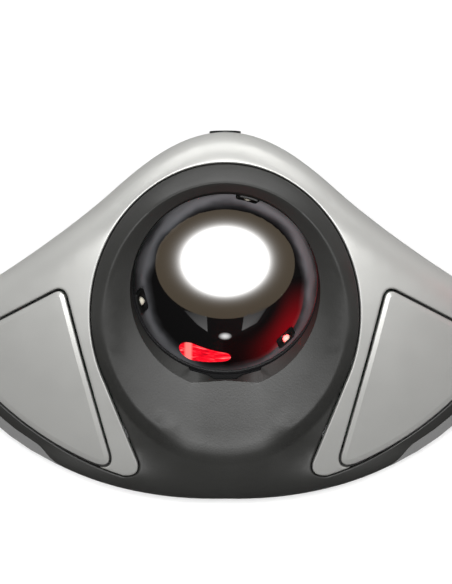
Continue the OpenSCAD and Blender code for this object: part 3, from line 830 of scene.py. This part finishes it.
def lens_material():
    """Clear red insert lit from inside, its glow painted light as emission: a pale strip at its wide end, then
    bright and dark streaks along it.
    """
    m = material("red_lens", (0.5, 0.004, 0.012), 0.05, coat=0.5, coat_rough=0.02)
    tree = m.node_tree
    shader = tree.nodes["Principled BSDF"]
    where = tree.nodes.new("ShaderNodeTexCoord").outputs["Object"]
    c, k = math.cos(WINDOW_ROLL), math.sin(WINDOW_ROLL)
    long_way, cross_way = WINDOW @ np.array([c, k, 0]), WINDOW @ np.array([-k, c, 0])
    middle = WINDOW @ np.array([0, 0, -CUP_IN]) + CUP_MIDDLE
    along, across = (vector_math(tree, "DOT_PRODUCT", where, tuple(d)) for d in (long_way, cross_way))
    # place runs from 0 at the narrow end to 1 at the wide end
    start = float(middle @ long_way) * MM
    place = map_range(tree, along.outputs["Value"], start - 0.0058, start + 0.0060)
    streak_at = tree.nodes.new("ShaderNodeCombineXYZ")
    for source, socket, gain in ((along, "X", STREAKS_ALONG), (across, "Y", STREAKS_ACROSS)):
        scaled = tree.nodes.new("ShaderNodeMath")
        scaled.operation = "MULTIPLY"
        scaled.inputs[1].default_value = gain
        tree.links.new(source.outputs["Value"], scaled.inputs[0])
        tree.links.new(scaled.outputs["Value"], streak_at.inputs[socket])
    streak = noise_at(tree, streak_at.outputs["Vector"], 1.0, 3)
    streak.inputs["Distortion"].default_value = 0.8
    mix = tree.nodes.new("ShaderNodeMix")
    mix.data_type = "RGBA"
    mix.inputs["B"].default_value = (1.0, 0.30, 0.26, 1)
    tree.links.new(color_ramp(tree, place, STRIP_TONES), mix.inputs["Factor"])
    tree.links.new(color_ramp(tree, streak.outputs["Fac"], STREAK_TONES), mix.inputs["A"])
    tree.links.new(mix.outputs["Result"], shader.inputs["Emission Color"])
    shader.inputs["Emission Strength"].default_value = 0.9
    return m


LENS = lens_material()
stand_for(wear(lens, LENS), "case", "sensor_window")
wear(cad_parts["red_led"], LENS)

# ---- floor and light -----------------------------------------------------------------------------
FLOOR_REACH = 3000
floor = piece("floor", [(x * FLOOR_REACH, y * FLOOR_REACH, 0) for x, y in ((-1, -1), (1, -1), (1, 1), (-1, 1))],
              [(0, 1, 2, 3)])
wear(floor, material("paper", (0.93, 0.93, 0.93), 0.9))
floor.visible_glossy = False

WORLD_NEAR, WORLD_FAR = 0.02, 0.30      # brightness of the room on the user's side and beyond the mouse
world = bpy.data.worlds.new("world")
bpy.context.scene.world = world
world.use_nodes = True
world_tree = world.node_tree
background = world_tree.nodes["Background"]
background.inputs["Color"].default_value = (1, 1, 1, 1)
way = world_tree.nodes.new("ShaderNodeTexCoord")
split = world_tree.nodes.new("ShaderNodeSeparateXYZ")
world_tree.links.new(way.outputs["Generated"], split.inputs["Vector"])
world_tree.links.new(map_range(world_tree, split.outputs["Y"], -0.9, 0.9, WORLD_NEAR, WORLD_FAR),
                     background.inputs["Strength"])


def only_for(light, name, objects, exclude=False):
    """Lights just these objects, or all but these."""
    group = bpy.data.collections.new(name)
    for obj in objects:
        group.objects.link(obj)
    if exclude:
        for entry in group.collection_objects:
            entry.light_linking.link_state = "EXCLUDE"
    light.light_linking.receiver_collection = group


def area(name, at, aim, size, power, color=(1, 1, 1)):
    light = bpy.data.lights.new(name, "AREA")
    light.shape = "RECTANGLE"
    light.size, light.size_y = size
    light.energy = power
    light.color = color
    obj = bpy.data.objects.new(name, light)
    obj.location = at
    obj.rotation_euler = (Vector(aim) - Vector(at)).to_track_quat("-Z", "Y").to_euler()
    obj.visible_camera = False
    bpy.context.scene.collection.objects.link(obj)
    return obj


cup.visible_diffuse = False     # so the lamps it mirrors don't light the cover
cup.visible_glossy = False
AIM = (0, 0, 0.02)
for name, at, size, power, cup_only in (
        ("key", (0.0, 0.02, 1.15), (0.8, 0.5), 17.5, False),
        ("far_panel", (0.0, 1.3, 0.45), (2.6, 0.6), 13, False),
        ("cup_soft", (-0.2, -0.75, 0.85), (0.8, 0.5), 30, True),
        ("cup_soft_far", (0.0, 0.6, 1.0), (0.8, 0.5), 14, True)):
    lamp = area(name, at, AIM, size, power)
    lamp.visible_glossy = not cup_only
    only_for(lamp, name + "_for", [cup], exclude=not cup_only)
# the sensor lamp's red light
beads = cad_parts["support_beads"]
for name, at, aim, power, lit in (
        ("glow_wall", (-0.0040, -0.0120, 0.0160), (0.0185, -0.0055, 0.0190), 0.0030, [cup]),
        ("glow_bead", (0.0050, -0.0060, 0.0200), (0.0139, -0.0118, 0.0190), 0.0130, [beads]),
        ("glow_cover", (0.0060, -0.0060, 0.0180), (0.0175, -0.0140, 0.0215), 0.0020, [cover]),
        ("glow_rim", (0.0120, -0.0010, 0.0210), (0.0210, -0.0010, 0.0250), 0.0300, [rim])):
    glow = area(name, at, aim, (0.003, 0.003), power, color=(1.0, 0.015, 0.03))
    glow.visible_glossy = False
    only_for(glow, name + "_for", lit)

# ---- what the polished cup mirrors ---------------------------------------------------------------
# A round lamp with a bright middle, two grey panels, a small lamp and the sensor lamp's red light.
MIRROR_H = 600.0        # height of the mirrored lamps above the ball's middle
MIRROR_GAIN = 110.0     # the polish mirrors about a hundredth of what it sees


def mirrored_at(p):
    """Where a point of the cup's plan looks, on a level sheet above it."""
    p = np.atleast_2d(np.array(p, float))
    r = np.hypot(p[:, 0], p[:, 1])
    away = MIRROR_H * np.tan(2 * mirror_lean(p))
    q = -p / np.maximum(r, TINY)[:, None] * away[:, None]
    return np.c_[p + q, np.full(len(p), BALL_Z + MIRROR_H)]


def glow_sheet(name, plan, faces, light, behind=0.0):
    """A sheet that only the cup mirrors; light holds each point's colour times its strength."""
    obj = piece(name, mirrored_at(plan) + [0, 0, behind], faces)
    tone = obj.data.color_attributes.new("glow", "FLOAT_COLOR", "POINT")
    for k, c in enumerate(light):
        tone.data[k].color = (*(float(v) for v in c), 1)
    m = bpy.data.materials.new(name)
    m.use_nodes = True
    tree = m.node_tree
    tree.nodes.clear()
    read = tree.nodes.new("ShaderNodeVertexColor")
    read.layer_name = "glow"
    emit = tree.nodes.new("ShaderNodeEmission")
    emit.inputs["Strength"].default_value = 1.0
    end = tree.nodes.new("ShaderNodeOutputMaterial")
    tree.links.new(read.outputs["Color"], emit.inputs["Color"])
    tree.links.new(emit.outputs["Emission"], end.inputs["Surface"])
    wear(obj, m)
    obj.visible_camera = False
    obj.visible_diffuse = False
    obj.visible_transmission = False
    obj.visible_shadow = False
    only_for(obj, name + "_for", [cup])
    return obj


def disc_faces(rings, n):
    """Faces of a disc: a middle point, then rings of n points."""
    faces = [(0, 1 + i, 1 + (i + 1) % n) for i in range(n)]
    for ring in range(rings - 1):
        a, b = 1 + ring * n, 1 + (ring + 1) * n
        faces += [(a + i, b + i, b + (i + 1) % n, a + (i + 1) % n) for i in range(n)]
    return faces


# the lamp and its hot middle: each an oval on the cup's plan, as its middle and half widths
LAMP = np.array([(0.0, 5.0), (15.6, 12.3)])
HOT = np.array([(0.0, 5.8), (10.2, 8.0)])
LAMP_RINGS, LAMP_SIDES = 60, 96
BROWN = np.array([0.062, 0.049, 0.034])
turns = np.linspace(0, 2 * math.pi, LAMP_SIDES, endpoint=False)
plan, light = [HOT[0]], [[8.0, 8.0, 8.0]]
for share in np.linspace(0.04, 1.0, LAMP_RINGS):
    # from the hot middle outwards, the rings' middle moves to the lamp's own
    mid = HOT[0] * (1 - share) + LAMP[0] * share
    for t in turns:
        q = mid + share * LAMP[1] * [math.cos(t), math.sin(t)]
        plan.append(q)
        e = math.hypot(*((q - HOT[0]) / HOT[1]))
        glow = math.exp(-max(0.0, e - 0.93) * 9.5) * 1.6
        if e > 1:
            glow = min(glow, 0.8 * math.exp(-(e - 1) * 13))
        light.append(BROWN + glow)
glow_sheet("mirrored_lamp", plan, disc_faces(LAMP_RINGS, LAMP_SIDES), np.array(light) * MIRROR_GAIN)

PANEL_TONES = (0.02, 0.05, 0.10, 0.05)
for name, quad in (("mirrored_panel_left", [(-9.4, -5.3), (-4.2, -6.7), (-4.0, -10.2), (-6.4, -8.5)]),
                   ("mirrored_panel_right", [(10.0, -4.0), (4.3, -6.7), (3.8, -10.0), (7.2, -8.2)])):
    glow_sheet(name, quad, [(0, 1, 2, 3)], [[v * MIRROR_GAIN] * 3 for v in PANEL_TONES])

DOT_AT, DOT_HALF = (0.0, -11.2), (1.6, 0.85)
dot = [(DOT_AT[0] + r * DOT_HALF[0] * math.cos(t), DOT_AT[1] + r * DOT_HALF[1] * math.sin(t))
       for r in (0.35, 1.0) for t in turns[::6]]
n = len(dot) // 2
glow_sheet("mirrored_dot", [DOT_AT] + dot, disc_faces(2, n),
           [[v * MIRROR_GAIN] * 3 for v in [0.75] + [0.6] * n + [0.0] * n])

# the sensor lamp's light on the right-hand wall
plan, light = [], []
rows, columns = 12, 24
for r in np.linspace(11.5, 19.4, rows):
    for t in np.linspace(-92, 8, columns):
        plan.append((r * math.cos(math.radians(t)), r * math.sin(math.radians(t))))
        rise = float(ramp(r, 12.0, 17.8)) * float(ramp(t, -92, -33)) ** 2 * (1 - float(ramp(t, -34, 7)))
        light.append([0.20 * rise * MIRROR_GAIN, 0.0, 0.003 * rise * MIRROR_GAIN])
corners = [i * columns + j for i in range(rows - 1) for j in range(columns - 1)]
glow_sheet("mirrored_red", plan, [(k, k + 1, k + columns + 1, k + columns) for k in corners], light, behind=4.0)

bpy.context.scene.view_settings.view_transform = "Standard"
